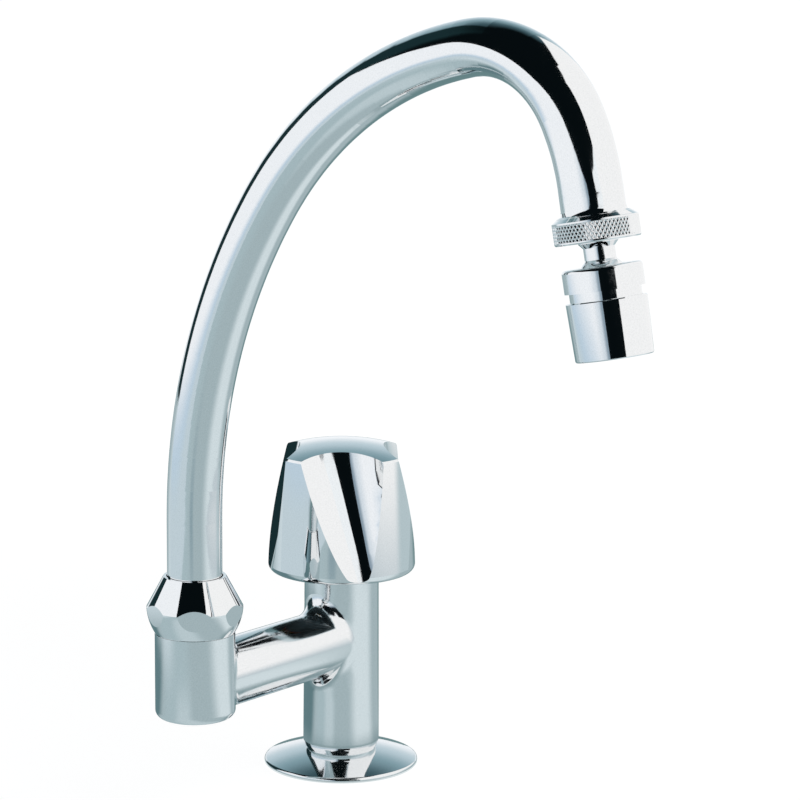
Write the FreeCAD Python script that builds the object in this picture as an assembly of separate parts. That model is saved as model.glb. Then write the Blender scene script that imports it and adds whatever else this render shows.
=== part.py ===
import FreeCAD, Part
import math
import os

# Kitchen tap for one water supply. Millimetres, +Z up, +X from the spout's socket to the column,
# -Y the way the spout points. The origin is on the column's axis, in the worktop's plane.

V = FreeCAD.Vector
UP = V(0, 0, 1)

# Running clearance of a shaft in its hole, and of fixed pieces in their seats, on the radius
RUN_FIT = 0.06
SEAT_FIT = 0.03

# Cover disc and gasket
FLANGE_R = 26.8
FLANGE_RIM = 1.6
FLANGE_EDGE_R = 1.1
FLANGE_EDGE_W = 2.4
FLANGE_CHAMFER = 0.3
FLANGE_WALL = 1.3
FLANGE_HOLE_R = 10.75
GASKET_INSET = 1.9
GASKET_R = FLANGE_R - FLANGE_EDGE_W - GASKET_INSET
GASKET_HOLE_R = 13.0

# Column
FOOT_R = 12.2
FOOT_Z = 5.4
FOOT_SEAT = 0.12
FOOT_CURVE_H = 4.0
COLUMN_R = 13.2
COLUMN_TOP_R = 12.8
COLUMN_TOP_Z = 74.3
LOWER_BORE_R = 7.0
SEAT_WEB_Z = 33.2
CHAMBER_FLOOR_Z = 37.0
SEAT_LIP_H = 1.1
SEAT_LIP_WALL = 1.5
SEAT_HOLE_R = 5.6
CHAMBER_R = 10.4

# Arm and spout socket
ARM_LENGTH = 74.6
ARM_R = 11.25
ARM_Z = 44.7
ARM_BORE_R = 4.8
ARM_FILLET_COLUMN = 6.5
ARM_FILLET_SOCKET = 3.0
SOCKET_R = 13.2
SOCKET_BOTTOM_Z = 33.3
SOCKET_TOP_Z = 61.8
SOCKET_EDGE_R = 2.5
SOCKET_FLOOR = 4.0
NECK_R = 11.6
NECK_H = 9.1
SOCKET_BORE_R = 9.7

# Tail and clamp under the worktop
WORKTOP = 30.0
TAIL_R = 10.48
TAIL_BORE_R = 5.6
TAIL_SPIGOT_H = 10.5
TAIL_END_LENGTH = 13.0
TAIL_RELIEF_R = 9.4
TAIL_RELIEF_H = 2.0
TAIL_SPARE = 3.0
TAIL_CHAMFER = 1.0
DECK_WASHER_R = 20.0
DECK_WASHER_T = 2.5
CLAMP_WASHER_R = 18.5
CLAMP_WASHER_T = 1.5
BACKNUT_FLATS = 29.0
BACKNUT_H = 8.0

# Headwork
HEAD_WASHER_T = 0.8
HEAD_NOSE_R = 9.8
HEAD_NOSE_Z = 52.0
HEAD_THREAD_Z = 58.5
HEAD_HEX_FLATS = 21.0
HEAD_HEX_H = 6.0
HEAD_NECK_R = 7.6
HEAD_TOP_Z = 90.0
CARRIER_SQUARE = 9.6
CARRIER_TOP_Z = 64.0
CARRIER_DISC_R = 8.2
CARRIER_DISC_H = 2.2
CARRIER_FLOOR = 1.6
VALVE_LIFT = 4.0
VALVE_GAP = 0.05
WASHER_R = 7.6
WASHER_T = 2.8
WASHER_HOLE_R = 1.6
SCREW_HEAD_R = 3.2
SCREW_HEAD_H = 1.2

# Spindle
SPINDLE_SCREW_R = 3.0
SPINDLE_COLLAR_R = 4.7
SPINDLE_COLLAR_H = 1.5
SPINDLE_NECK_R = 4.0
SPINDLE_TOP_Z = 104.5
SPINDLE_TEETH = 14
SPINDLE_TOOTH_DEPTH = 0.45
SEAL_WIRE = 1.5
SEAL_DEPTH = 1.2
CLIP_T = 0.8
CLIP_R = 5.8
CLIP_GROOVE_DEPTH = 0.7

# Knob
KNOB_RIM_Z = 69.0
KNOB_RIM_R = 25.4
KNOB_WAIST_R = 24.65
KNOB_TOP_R = 23.75
KNOB_TOP_Z = 110.7
KNOB_DOME_H = 3.8
KNOB_WALL = 1.9
KNOB_LIP_R = 2.5
KNOB_EDGE_R = 0.8
KNOB_HUB_R = 8.6
KNOB_HUB_Z = 93.8
KNOB_CEILING = 3.4
KNOB_FLUTES = 4
KNOB_TURN_DEG = 39.9
FLUTE_FLOOR_R = 14.65
FLUTE_AXIS_SHIFT = 1.25
FLUTE_SLANT = 0.212
FLUTE_LEAN = -0.033
FLUTE_CUT_R = 24.5
FLUTE_TAPER = 0.258
BUSH_R = 6.2
BUSH_TAIL_Z = 91.9
SPRING_RING_R = 7.2
SPRING_RING_H = 1.1

# Spout nut
NUT_R = 15.8
NUT_WIDEST_Z = 70.0
NUT_BAND_H = 0.5
NUT_TOP_Z = 80.8
NUT_TOP_R = 10.25
NUT_FLATS_R = 14.85
NUT_TURN_DEG = -18.0
NUT_GAP = 0.3

# Spout tube: a rise, two wide bends, a tight bend that squeezes the tube oval, and a last one
TUBE_R = 9.0
TUBE_WALL = 1.2
TUBE_END_R = 9.4
BEND_FLATTENED = 0.05
BEND_WIDENED = 0.17
BEND_START_Z = 99.3
BENDS = ((188.0, 34.9), (122.2, 43.8), (34.5, 72.7), (67.5, 17.2))
STATION_STEP = 11.0
TUBE_TAIL = 9.0

# Spout collar in the socket
COLLAR_R = 11.2
COLLAR_T = 1.7
COLLAR_BORE_R = 6.1
SEAL_ABOVE_ARM = 3.5
SEAL_BELOW_TOP = 5.0
SLIP_RING_T = 0.9
SLIP_GAP = 0.05

# Coupling at the outlet, measured along the outlet's axis from the tube's end
RING_R = 12.55
RING_LENGTH = 8.0
RING_LEAD = 0.4
RING_CHAMFER = 1.6
RING_CHAMFER_W = 2.2
RING_FOOT = 0.35
RING_LIP = 0.8
FERRULE_R = 10.97
FERRULE_THREAD = 4.2
FERRULE_SPIGOT = 7.0
FERRULE_BORE_R = 5.6
FERRULE_LIP = 1.8
FERRULE_LIP_FLARE = 0.6
RING_CLEARANCE = 0.2
COUPLING_SEAL_INSET = 0.3
COUPLING_SEAL_T = 1.2
STUD_FLANGE_R = 10.0
STUD_COLLAR_R = 5.85
STUD_COLLAR_T = 1.7
STUD_NECK_R = 4.6
STUD_ROOT_W = 0.4
STUD_ROOT_L = 0.6
STUD_BORE_R = 2.8
BALL_R = 7.6
BALL_BELOW_RING = 11.55
LINER_T = 0.9
LINER_ABOVE = 2.8
LINER_BELOW = 1.4

# Aerator housing and sleeve, along the same axis
HOUSING_R = 11.7
HOUSING_TO_RING = 7.05
HOUSING_CAP = 6.9
HOUSING_EDGE_R = 1.1
HOUSING_MOUTH_R = 6.4
HOUSING_NECK_R = 10.45
HOUSING_NECK = 13.4
HOUSING_BORE_R = 8.9
RETAINER_T = 3.4
RETAINER_BORE_R = 4.8
RETAINER_WIRE = 1.2
RETAINER_SEAL_AT = 1.4
CORE_R = 8.3
CORE_LENGTH = 7.5
CORE_FLANGE_T = 1.2
CORE_FLANGE_FIT = 0.1
CORE_SLOT_W = 2.0
CORE_SLOT_DEPTH = 2.2
RETAINER_BELOW_BALL = 3.4
CORE_BORE_R = 2.6
MESH_T = 0.6
GROOVE_W = 2.65
SLEEVE_R = 11.82
SLEEVE_END_R = 11.36
SLEEVE_LENGTH = 17.05
SLEEVE_LIP = 0.8
SLEEVE_LIP_T = 0.8
SLEEVE_CHAMFER = 0.3
SPRAY_R = 10.0
SPRAY_T = 2.2
SPRAY_RECESS = 0.7
SPRAY_HOLE_R = 0.65
SPRAY_RING_R = (2.8, 5.6, 8.3)
SPRAY_PITCH = 3.2

# Heights and stations that follow from the sizes above
SEAT_Z = CHAMBER_FLOOR_Z + SEAT_LIP_H
WASHER_Z = SEAT_Z + VALVE_GAP
CARRIER_Z = WASHER_Z + WASHER_T
HEX_Z = COLUMN_TOP_Z + HEAD_WASHER_T
COLLAR_STOP_Z = CARRIER_TOP_Z + VALVE_LIFT + 1.0 + SPINDLE_COLLAR_H
CLIP_Z = HEAD_TOP_Z + SEAT_FIT
NECK_TOP_Z = SOCKET_TOP_Z + NECK_H
COLLAR_Z = NECK_TOP_Z + SLIP_RING_T + SLIP_GAP
COLLAR_TOP_Z = COLLAR_Z + COLLAR_T
NUT_LEDGE_Z = COLLAR_TOP_Z + SLIP_GAP + SLIP_RING_T
TUBE_START_Z = COLLAR_TOP_Z - 1.0
RING_START = -RING_LEAD
RING_END = RING_START + RING_LENGTH
STUD_END = RING_END - RING_LIP
STUD_START = FERRULE_THREAD + COUPLING_SEAL_T
BALL_AT = RING_END + BALL_BELOW_RING
HOUSING_AT = RING_END + HOUSING_TO_RING
CAP_END = HOUSING_AT + HOUSING_CAP
HOUSING_END = CAP_END + HOUSING_NECK
SLEEVE_AT = CAP_END + GROOVE_W
SLEEVE_END = SLEEVE_AT + SLEEVE_LENGTH
SOCKET_X = -ARM_LENGTH


def edge(a, b):
    return Part.makeLine(V(a[0], 0, a[1]), V(b[0], 0, b[1]))


def arc(a, mid, b):
    return Part.Arc(V(a[0], 0, a[1]), V(mid[0], 0, mid[1]), V(b[0], 0, b[1])).toShape()


def spin(edges):
    """Solid of revolution about Z from a closed outline of radius and height."""
    face = Part.Face(Part.Wire(edges))
    return face.revolve(V(0, 0, 0), UP, 360)


def turned(points):
    """Solid of revolution from straight sides between (radius, height) points."""
    closed = points + points[:1]
    return spin([edge(a, b) for a, b in zip(closed, closed[1:])])


def tube(outer, inner, low, high):
    return turned([(inner, low), (outer, low), (outer, high), (inner, high)])


def disc(radius, low, high):
    return Part.makeCylinder(radius, high - low, V(0, 0, low))


def hexagon(flats, low, high, turn=0.0):
    """Hexagonal prism about Z with its flats that far apart."""
    corner = flats / 2 / math.cos(math.pi / 6)
    points = []
    for k in range(7):
        a = math.radians(turn + 60 * (k % 6) + 30)
        points.append(V(corner * math.cos(a), corner * math.sin(a), low))
    return Part.Face(Part.makePolygon(points)).extrude(V(0, 0, high - low))


def square(flats, low, high):
    return Part.makeBox(flats, flats, high - low, V(-flats / 2, -flats / 2, low))


def o_ring(outer, wire, z):
    """Sealing ring lying in the plane z, wire thick."""
    return Part.makeTorus(outer - wire / 2, wire / 2, V(0, 0, z))


def seal_groove(shaft_r, z):
    """Cutter for the groove that holds an o_ring at height z."""
    half = SEAL_WIRE / 2 + 0.1
    return tube(shaft_r + 1, shaft_r - SEAL_DEPTH, z - half, z + half)


def at_socket(shape):
    return shape.translated(V(SOCKET_X, 0, 0))


def dome_centre_z():
    """Height of the centre of the sphere that the cover disc's top lies on."""
    rim, top = FLANGE_RIM, FOOT_Z
    reach = FOOT_R + FOOT_SEAT
    return (FLANGE_R ** 2 - reach ** 2 + rim ** 2 - top ** 2) / (2 * (rim - top))


def dome_z(radius, offset=0.0):
    centre = dome_centre_z()
    sphere = math.hypot(FLANGE_R, FLANGE_RIM - centre) - offset
    return centre + math.sqrt(sphere ** 2 - radius ** 2)


def dome_arc(r1, r2, offset=0.0):
    mid = (r1 + r2) / 2
    ends = [(r, dome_z(r, offset)) for r in (r1, mid, r2)]
    return arc(*ends)


def deck_flange():
    """Pressed cover disc, its rim rounded over, hollow below."""
    reach = FOOT_R + FOOT_SEAT
    inner = FLANGE_R - FLANGE_EDGE_W
    under = dome_z(FLANGE_HOLE_R, FLANGE_WALL)
    plate = spin([
        edge((inner, 0), (FLANGE_R - FLANGE_CHAMFER, 0)),
        edge((FLANGE_R - FLANGE_CHAMFER, 0), (FLANGE_R, FLANGE_CHAMFER)),
        edge((FLANGE_R, FLANGE_CHAMFER), (FLANGE_R, FLANGE_RIM)),
        dome_arc(FLANGE_R, reach),
        edge((reach, FOOT_Z), (FLANGE_HOLE_R, FOOT_Z)),
        edge((FLANGE_HOLE_R, FOOT_Z), (FLANGE_HOLE_R, under)),
        dome_arc(FLANGE_HOLE_R, inner, FLANGE_WALL),
        edge((inner, dome_z(inner, FLANGE_WALL)), (inner, 0))])
    corner = [e for e in plate.Edges if e.BoundBox.ZMin > FLANGE_RIM - 0.01
              and e.BoundBox.ZMax < FLANGE_RIM + 0.01 and e.BoundBox.XMax > FLANGE_R - 0.01]
    return plate.makeFillet(FLANGE_EDGE_R, corner)


def deck_gasket():
    top_in = (GASKET_HOLE_R, dome_z(GASKET_HOLE_R, FLANGE_WALL))
    return spin([
        edge((GASKET_HOLE_R, 0), (GASKET_R, 0)),
        edge((GASKET_R, 0), (GASKET_R, dome_z(GASKET_R, FLANGE_WALL))),
        dome_arc(GASKET_R, GASKET_HOLE_R, FLANGE_WALL),
        edge(top_in, (GASKET_HOLE_R, 0))])


def column():
    """Column with its rounded foot, solid."""
    curve_top = FOOT_Z + FOOT_CURVE_H
    mid = (FOOT_R + 0.72 * (COLUMN_R - FOOT_R), FOOT_Z + 0.4 * FOOT_CURVE_H)
    return spin([
        edge((0, FOOT_Z), (FOOT_R, FOOT_Z)),
        arc((FOOT_R, FOOT_Z), mid, (COLUMN_R, curve_top)),
        edge((COLUMN_R, curve_top), (COLUMN_TOP_R, COLUMN_TOP_Z)),
        edge((COLUMN_TOP_R, COLUMN_TOP_Z), (0, COLUMN_TOP_Z)),
        edge((0, COLUMN_TOP_Z), (0, FOOT_Z))])


def socket():
    """Spout socket with a rounded bottom edge, up to the seam under the nut."""
    r, low, e = SOCKET_R, SOCKET_BOTTOM_Z, SOCKET_EDGE_R
    slope = e * (1 - math.sqrt(0.5))
    return at_socket(spin([
        edge((0, low), (r - e, low)),
        arc((r - e, low), (r - slope, low + slope), (r, low + e)),
        edge((r, low + e), (r, SOCKET_TOP_Z)),
        edge((r, SOCKET_TOP_Z), (0, SOCKET_TOP_Z)),
        edge((0, SOCKET_TOP_Z), (0, low))]))


def joint_edges(shape, x_low, x_high):
    """Edges where the arm runs into the upright parts, between two places along X."""
    found = []
    for item in shape.Edges:
        spot = item.valueAt((item.FirstParameter + item.LastParameter) / 2)
        on_arm = abs(math.hypot(spot.y, spot.z - ARM_Z) - ARM_R) < 0.01
        if on_arm and item.Curve.TypeId != "Part::GeomLine" and x_low < spot.x < x_high:
            found.append(item)
    return found


def body_bores():
    """Everything that is bored out of the casting."""
    cuts = [
        disc(TAIL_R + SEAT_FIT, FOOT_Z, FOOT_Z + TAIL_SPIGOT_H),
        disc(LOWER_BORE_R, FOOT_Z, SEAT_WEB_Z),
        disc(SEAT_HOLE_R, SEAT_WEB_Z, SEAT_Z),
        disc(CHAMBER_R, SEAT_Z, COLUMN_TOP_Z),
        tube(CHAMBER_R, SEAT_HOLE_R + SEAT_LIP_WALL, CHAMBER_FLOOR_Z, SEAT_Z)]
    cuts.append(Part.makeCylinder(ARM_BORE_R, ARM_LENGTH, V(SOCKET_X, 0, ARM_Z), V(1, 0, 0)))
    floor = SOCKET_BOTTOM_Z + SOCKET_FLOOR
    cuts.append(at_socket(disc(SOCKET_BORE_R, floor, NECK_TOP_Z)))
    return cuts


def tap_body():
    arm = Part.makeCylinder(ARM_R, ARM_LENGTH, V(SOCKET_X, 0, ARM_Z), V(1, 0, 0))
    solid = column().fuse([socket(), arm]).removeSplitter()
    solid = solid.makeFillet(ARM_FILLET_COLUMN, joint_edges(solid, -2 * COLUMN_R, 0))
    near = SOCKET_X + 2 * SOCKET_R
    solid = solid.makeFillet(ARM_FILLET_SOCKET, joint_edges(solid, SOCKET_X, near))
    solid = solid.fuse(at_socket(disc(NECK_R, SOCKET_TOP_Z, NECK_TOP_Z)))
    return solid.cut(body_bores())


def tail_end_z():
    """Height of the tail's lower end."""
    clamp = WORKTOP + DECK_WASHER_T + CLAMP_WASHER_T + BACKNUT_H
    return -clamp - TAIL_SPARE - TAIL_RELIEF_H - TAIL_END_LENGTH


def inlet_shank():
    """Threaded tail from the foot's bore through the worktop, relieved above its hose thread."""
    end = tail_end_z()
    relief = end + TAIL_END_LENGTH
    top = FOOT_Z + TAIL_SPIGOT_H
    return turned([
        (TAIL_BORE_R, end), (TAIL_R - TAIL_CHAMFER, end), (TAIL_R, end + TAIL_CHAMFER),
        (TAIL_R, relief), (TAIL_RELIEF_R, relief), (TAIL_RELIEF_R, relief + TAIL_RELIEF_H),
        (TAIL_R, relief + TAIL_RELIEF_H), (TAIL_R, top - TAIL_CHAMFER), (TAIL_R - TAIL_CHAMFER, top),
        (TAIL_BORE_R, top)])


def deck_washer():
    return tube(DECK_WASHER_R, TAIL_R + SEAT_FIT, -WORKTOP - DECK_WASHER_T, -WORKTOP)


def clamp_washer():
    top = -WORKTOP - DECK_WASHER_T
    return tube(CLAMP_WASHER_R, TAIL_R + SEAT_FIT, top - CLAMP_WASHER_T, top)


def rounded_hexagon(flats, low, high):
    """Hexagon with its corners turned off at both ends."""
    corner = flats / 2 / math.cos(math.pi / 6)
    drop = (corner - flats / 2) * 0.6
    inside = flats / 2 - 0.2
    barrel = turned([(0, low), (inside, low), (corner, low + drop), (corner, high - drop),
                     (inside, high), (0, high)])
    return hexagon(flats, low, high).common(barrel)


def backnut():
    top = -WORKTOP - DECK_WASHER_T - CLAMP_WASHER_T
    nut = rounded_hexagon(BACKNUT_FLATS, top - BACKNUT_H, top)
    return nut.cut(disc(TAIL_R + SEAT_FIT, top - BACKNUT_H, top))


def headwork_washer():
    outer = COLUMN_TOP_R - 0.25
    return tube(outer, CHAMBER_R - SEAT_FIT + 0.05, COLUMN_TOP_Z, HEX_Z)


def headwork_body():
    """Headwork: nose, thread, hexagon and neck, with the square way for the carrier."""
    hex_top = HEX_Z + HEAD_HEX_H
    thread_r = CHAMBER_R - SEAT_FIT
    body = turned([
        (0, HEAD_NOSE_Z), (HEAD_NOSE_R, HEAD_NOSE_Z), (HEAD_NOSE_R, HEAD_THREAD_Z),
        (thread_r, HEAD_THREAD_Z + 0.5), (thread_r, HEX_Z), (0, HEX_Z)])
    hexagon_part = rounded_hexagon(HEAD_HEX_FLATS, HEX_Z, hex_top)
    body = body.fuse([hexagon_part, disc(HEAD_NECK_R, hex_top, HEAD_TOP_Z)])
    way = square(CARRIER_SQUARE + 2 * RUN_FIT, HEAD_NOSE_Z, COLLAR_STOP_Z - SPINDLE_COLLAR_H)
    stop = disc(SPINDLE_COLLAR_R + RUN_FIT, COLLAR_STOP_Z - SPINDLE_COLLAR_H, COLLAR_STOP_Z + SEAT_FIT)
    neck = disc(SPINDLE_NECK_R + RUN_FIT, COLLAR_STOP_Z, HEAD_TOP_Z)
    return body.cut([way, stop, neck])


def seal_heights():
    """Heights of the spindle's two sealing rings."""
    middle = (COLLAR_STOP_Z + HEAD_TOP_Z) / 2
    return [middle - 2.2, middle + 2.2]


def spindle():
    screw_end = CARRIER_Z + CARRIER_FLOOR + VALVE_LIFT + 0.3
    shape = turned([
        (0, screw_end), (SPINDLE_SCREW_R - 0.5, screw_end), (SPINDLE_SCREW_R, screw_end + 0.5),
        (SPINDLE_SCREW_R, COLLAR_STOP_Z - SPINDLE_COLLAR_H),
        (SPINDLE_COLLAR_R, COLLAR_STOP_Z - SPINDLE_COLLAR_H), (SPINDLE_COLLAR_R, COLLAR_STOP_Z),
        (SPINDLE_NECK_R, COLLAR_STOP_Z), (SPINDLE_NECK_R, SPINDLE_TOP_Z - 0.5),
        (SPINDLE_NECK_R - 0.5, SPINDLE_TOP_Z), (0, SPINDLE_TOP_Z)])
    cuts = [seal_groove(SPINDLE_NECK_R, z) for z in seal_heights()]
    floor = SPINDLE_NECK_R - CLIP_GROOVE_DEPTH
    cuts.append(tube(SPINDLE_NECK_R + 1, floor, CLIP_Z, CLIP_Z + CLIP_T + SEAT_FIT))
    return shape.cut(cuts + spline_cuts())


def spline_cuts():
    """V grooves round the top of the spindle."""
    low = CLIP_Z + CLIP_T + 1.2
    depth = SPINDLE_TOOTH_DEPTH
    wide = math.pi * SPINDLE_NECK_R / SPINDLE_TEETH * 0.8
    cuts = []
    for k in range(SPINDLE_TEETH):
        points = [V(SPINDLE_NECK_R - depth, 0, low), V(SPINDLE_NECK_R + 0.2, wide, low),
                  V(SPINDLE_NECK_R + 0.2, -wide, low)]
        groove = Part.Face(Part.makePolygon(points + points[:1])).extrude(V(0, 0, SPINDLE_TOP_Z - low))
        groove.rotate(V(0, 0, 0), UP, 360 * k / SPINDLE_TEETH)
        cuts.append(groove)
    return cuts


def spindle_seals():
    outer = SPINDLE_NECK_R + RUN_FIT / 2
    rings = [o_ring(outer, SEAL_WIRE * 0.75, z) for z in seal_heights()]
    return Part.makeCompound(rings)


def spindle_clip():
    """Spring clip with its gap, in the groove above the headwork."""
    inner = SPINDLE_NECK_R - CLIP_GROOVE_DEPTH + SEAT_FIT
    ring = tube(CLIP_R, inner, CLIP_Z + SEAT_FIT / 2, CLIP_Z + CLIP_T)
    gap = Part.makeBox(2 * CLIP_R, 2 * inner * 0.7, 2 * CLIP_T, V(0, -inner * 0.7, CLIP_Z - CLIP_T / 2))
    return ring.cut(gap)


def valve_carrier():
    shape = square(CARRIER_SQUARE, CARRIER_Z, CARRIER_TOP_Z).fuse(
        disc(CARRIER_DISC_R, CARRIER_Z, CARRIER_Z + CARRIER_DISC_H))
    bore = disc(SPINDLE_SCREW_R + RUN_FIT, CARRIER_Z + CARRIER_FLOOR + 0.2, CARRIER_TOP_Z)
    pilot = disc(WASHER_HOLE_R, CARRIER_Z, CARRIER_Z + CARRIER_FLOOR)
    return shape.removeSplitter().cut([bore, pilot])


def valve_washer():
    return tube(WASHER_R, WASHER_HOLE_R + SEAT_FIT, WASHER_Z, CARRIER_Z)


def valve_screw():
    head_z = WASHER_Z - SCREW_HEAD_H
    return turned([(0, head_z), (SCREW_HEAD_R - 0.4, head_z), (SCREW_HEAD_R, head_z + 0.4),
                   (SCREW_HEAD_R, WASHER_Z), (WASHER_HOLE_R - SEAT_FIT, WASHER_Z),
                   (WASHER_HOLE_R - SEAT_FIT, CARRIER_Z + CARRIER_FLOOR - 0.1),
                   (0, CARRIER_Z + CARRIER_FLOOR - 0.1)])


def knob_outline():
    """Outer outline of the knob from the rim to the crown of its dome."""
    waist_z = KNOB_RIM_Z + 0.5 * (KNOB_TOP_Z - KNOB_RIM_Z)
    lip, side = KNOB_LIP_R, KNOB_LIP_R * (1 - math.sqrt(0.5))
    side_z = KNOB_RIM_Z + KNOB_LIP_R
    e = KNOB_EDGE_R
    crown = KNOB_TOP_Z + KNOB_DOME_H
    half_r = KNOB_TOP_R / 2
    sphere = (KNOB_TOP_R ** 2 + KNOB_DOME_H ** 2) / (2 * KNOB_DOME_H)
    half_z = crown - sphere + math.sqrt(sphere ** 2 - half_r ** 2)
    return [
        arc((KNOB_RIM_R - lip, KNOB_RIM_Z), (KNOB_RIM_R - side, KNOB_RIM_Z + side), (KNOB_RIM_R, side_z)),
        arc((KNOB_RIM_R, side_z), (KNOB_WAIST_R, waist_z), (KNOB_TOP_R, KNOB_TOP_Z - e)),
        edge((KNOB_TOP_R, KNOB_TOP_Z - e), (KNOB_TOP_R - 0.6 * e, KNOB_TOP_Z)),
        arc((KNOB_TOP_R - 0.6 * e, KNOB_TOP_Z), (half_r, half_z), (0, crown))]


def flute_cutter():
    """Cone that cuts one twisted flute, for the flute that faces +X."""
    rise = KNOB_DOME_H + 3
    drop = KNOB_TOP_Z - KNOB_RIM_Z + 3
    run = V(FLUTE_LEAN, FLUTE_SLANT, -1)
    axis_r = FLUTE_FLOOR_R + FLUTE_CUT_R
    start = V(axis_r, FLUTE_AXIS_SHIFT, KNOB_TOP_Z) - run * rise
    top_r = FLUTE_CUT_R + FLUTE_TAPER * rise
    end_r = FLUTE_CUT_R - FLUTE_TAPER * drop
    length = run.Length * (rise + drop)
    return Part.makeCone(top_r, end_r, length, start, run)


def knob_cavity():
    """Hollow under the knob, which clears the flutes by the wall and leaves the hub."""
    ceiling = KNOB_TOP_Z - KNOB_CEILING
    floor_top = FLUTE_FLOOR_R - KNOB_WALL
    depth = KNOB_TOP_Z - KNOB_RIM_Z
    slope = FLUTE_TAPER + FLUTE_LEAN
    mouth = min(KNOB_RIM_R - KNOB_LIP_R - 0.6, floor_top + slope * depth)
    meet = (mouth - floor_top) / slope
    meet_z = max(KNOB_TOP_Z - meet, KNOB_RIM_Z + 0.15 * depth)
    meet_r = floor_top + slope * (KNOB_TOP_Z - meet_z)
    high_r = floor_top + slope * KNOB_CEILING
    points = [(0, KNOB_RIM_Z - 1), (mouth, KNOB_RIM_Z - 1), (mouth, KNOB_RIM_Z + 1.5),
              (meet_r, meet_z), (high_r, ceiling), (0, ceiling)]
    return turned(points).cut(disc(KNOB_HUB_R, KNOB_HUB_Z, ceiling))


def knob():
    outline = knob_outline()
    crown = KNOB_TOP_Z + KNOB_DOME_H
    closed = [
        edge((0, crown), (0, KNOB_RIM_Z)),
        edge((0, KNOB_RIM_Z), (KNOB_RIM_R - KNOB_LIP_R, KNOB_RIM_Z))]
    solid = spin(outline + closed)
    cutter = flute_cutter()
    cuts = []
    for k in range(KNOB_FLUTES):
        cut = cutter.copy()
        cut.rotate(V(0, 0, 0), UP, KNOB_TURN_DEG + 360 / KNOB_FLUTES * k)
        cuts.append(cut)
    cuts.append(knob_cavity())
    cuts.append(disc(BUSH_R + SEAT_FIT, KNOB_HUB_Z, SPINDLE_TOP_Z + 0.4))
    return solid.cut(cuts)


def knob_bush():
    """Plastic bush in the hub, with a groove for the spring ring on its slotted tail."""
    top = SPINDLE_TOP_Z + 0.35
    seat = SPRING_RING_R - 1.3
    shape = turned([
        (0, BUSH_TAIL_Z), (BUSH_R - 0.2, BUSH_TAIL_Z), (BUSH_R - 0.2, KNOB_HUB_Z - 0.2 - SPRING_RING_H),
        (seat, KNOB_HUB_Z - 0.2 - SPRING_RING_H), (seat, KNOB_HUB_Z - 0.2), (BUSH_R, KNOB_HUB_Z - 0.2),
        (BUSH_R, top), (0, top)])
    slot = Part.makeBox(2 * BUSH_R + 2, 0.8, KNOB_HUB_Z - BUSH_TAIL_Z,
                        V(-BUSH_R - 1, -0.4, BUSH_TAIL_Z))
    return shape.cut([disc(SPINDLE_NECK_R + SEAT_FIT, BUSH_TAIL_Z, SPINDLE_TOP_Z + 0.05), slot])


def knob_spring_ring():
    high = KNOB_HUB_Z - 0.2 - SEAT_FIT
    low = KNOB_HUB_Z - 0.2 - SPRING_RING_H + SEAT_FIT
    return tube(SPRING_RING_R, SPRING_RING_R - 1.3 + SEAT_FIT, low, high)


def spout_nut():
    """Hexagon nut turned as a double cone, so that its flats are lens shaped."""
    low, wide = SOCKET_TOP_Z + 0.05, NUT_WIDEST_Z
    base = SOCKET_R - 0.1
    belly = (base + 0.62 * (NUT_R - base), low + 0.42 * (wide - low))
    outer = spin([
        edge((0, low), (base, low)),
        arc((base, low), belly, (NUT_R, wide)),
        edge((NUT_R, wide), (NUT_R, wide + NUT_BAND_H)),
        edge((NUT_R, wide + NUT_BAND_H), (NUT_TOP_R, NUT_TOP_Z)),
        edge((NUT_TOP_R, NUT_TOP_Z), (0, NUT_TOP_Z)),
        edge((0, NUT_TOP_Z), (0, low))])
    outer = outer.common(hexagon(2 * NUT_FLATS_R, low, NUT_TOP_Z, NUT_TURN_DEG))
    thread = disc(NECK_R + SEAT_FIT, low, NUT_LEDGE_Z)
    return at_socket(outer.cut([thread, disc(TUBE_R + NUT_GAP, NUT_LEDGE_Z, NUT_TOP_Z)]))


def lower_slip_ring():
    return at_socket(tube(NECK_R - 0.1, SOCKET_BORE_R + SEAT_FIT, NECK_TOP_Z, NECK_TOP_Z + SLIP_RING_T))


def upper_slip_ring():
    return at_socket(tube(NECK_R - 0.1, TUBE_R + NUT_GAP, NUT_LEDGE_Z - SLIP_RING_T, NUT_LEDGE_Z))


def spout_seal_heights():
    return [ARM_Z + ARM_BORE_R + SEAL_ABOVE_ARM, NECK_TOP_Z - SEAL_BELOW_TOP]


def spout_collar():
    """Collar of the swivel: spigot with seals, flange between the slip rings, nose in the tube."""
    r = SOCKET_BORE_R - RUN_FIT
    low = ARM_Z + ARM_BORE_R + 1.0
    nose = TUBE_R - TUBE_WALL - SEAT_FIT
    shape = turned([
        (COLLAR_BORE_R, low), (r - 0.5, low), (r, low + 0.5), (r, COLLAR_Z), (COLLAR_R, COLLAR_Z),
        (COLLAR_R, COLLAR_TOP_Z), (TUBE_R + SEAT_FIT, COLLAR_TOP_Z), (TUBE_R + SEAT_FIT, TUBE_START_Z),
        (nose, TUBE_START_Z), (nose, NUT_TOP_Z), (COLLAR_BORE_R, NUT_TOP_Z)])
    return at_socket(shape.cut([seal_groove(r, z) for z in spout_seal_heights()]))


def spout_seals():
    outer = SOCKET_BORE_R - RUN_FIT / 2
    return at_socket(Part.makeCompound([o_ring(outer, SEAL_WIRE * 0.75, z) for z in spout_seal_heights()]))


def bend(place, heading, radius, degrees):
    """Point and heading after an arc that turns down and away from the socket."""
    a = math.radians(heading)
    b = math.radians(heading - degrees)
    dx = radius * (math.sin(a) - math.sin(b))
    dz = radius * (math.cos(b) - math.cos(a))
    return (place[0] + dx, place[1] + dz), heading - degrees


def straight(place, heading, length):
    a = math.radians(heading)
    return (place[0] + length * math.cos(a), place[1] + length * math.sin(a))


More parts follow.
